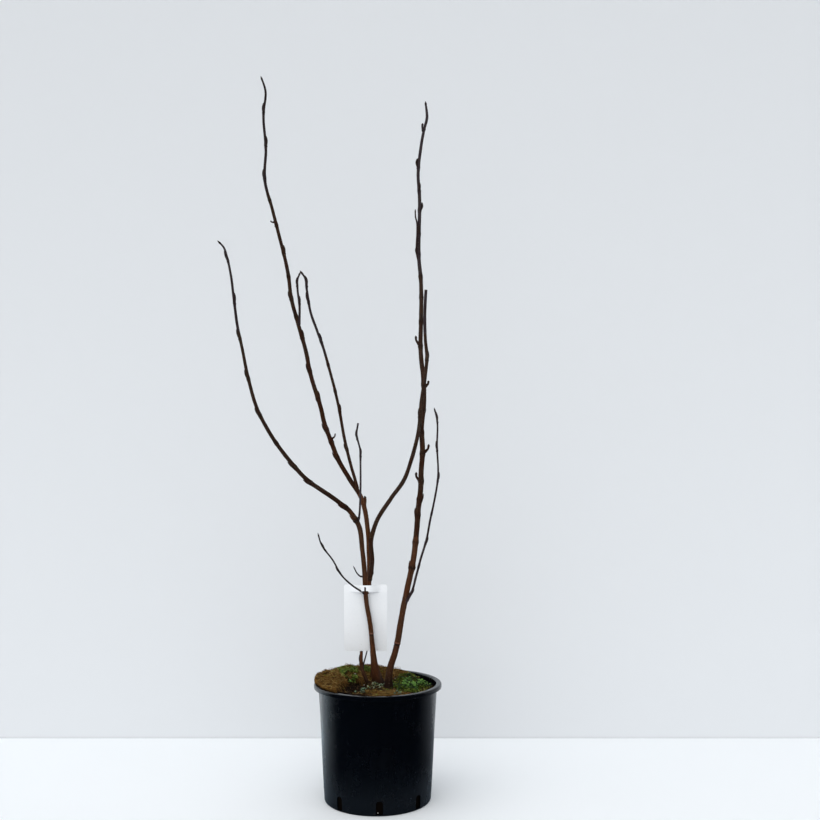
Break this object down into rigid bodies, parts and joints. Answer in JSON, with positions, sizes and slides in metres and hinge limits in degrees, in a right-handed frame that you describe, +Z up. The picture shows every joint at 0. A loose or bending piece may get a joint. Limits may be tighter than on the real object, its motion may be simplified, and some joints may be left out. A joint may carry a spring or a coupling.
{
  "type": "potted oyama magnolia",
  "caption": "Bare winter magnolia shrub: a clump of slim leaning stems with long boughs and budded twigs, rooted in a round black nursery pot, with a blank plant tag.",
  "frame": {"origin": "centre of the pot's flat underside", "axes": "+Z up, -Y towards the viewer of the picture, +X to the viewer's right"},
  "size_m": [0.4386, 0.3111, 1.5266],
  "materials": {
    "pot_plastic": "satin black moulded plastic with soft sheen",
    "potting_mix": "matted brown fibre and compost with green moss and small weeds",
    "tag_card": "smooth white card with a soft sheen, blank",
    "stem_bark": "warm brown bark with pale pores and ring scars",
    "bough_bark": "smooth dark brown bark with pores and knots",
    "twig_bark": "fine dark bark with leaf scars and buds"
  },
  "bodies": {
    "root": {"pot": "pot_plastic", "root_ball": "potting_mix", "plant_tag": "tag_card", "stem_left": "stem_bark", "stem_middle": "stem_bark", "stem_right": "stem_bark", "base_stub": "stem_bark", "left_bough_lower": "bough_bark", "left_bough_upper": "bough_bark", "tall_bough_lower": "bough_bark", "tall_bough_upper": "bough_bark", "right_bough_lower": "bough_bark", "right_bough_upper": "bough_bark", "inner_bough": "bough_bark", "cross_bough_lower": "bough_bark", "cross_bough_upper": "bough_bark", "left_leader": "twig_bark", "tall_leader": "twig_bark", "right_leader": "twig_bark", "inner_leader": "twig_bark", "cross_leader": "twig_bark", "right_shoot_lower": "twig_bark", "right_shoot_upper": "twig_bark", "low_shoot": "twig_bark", "short_spur": "twig_bark", "centre_shoot": "twig_bark", "inner_shoot": "twig_bark", "base_twig": "twig_bark"}
  },
  "joints": []
}
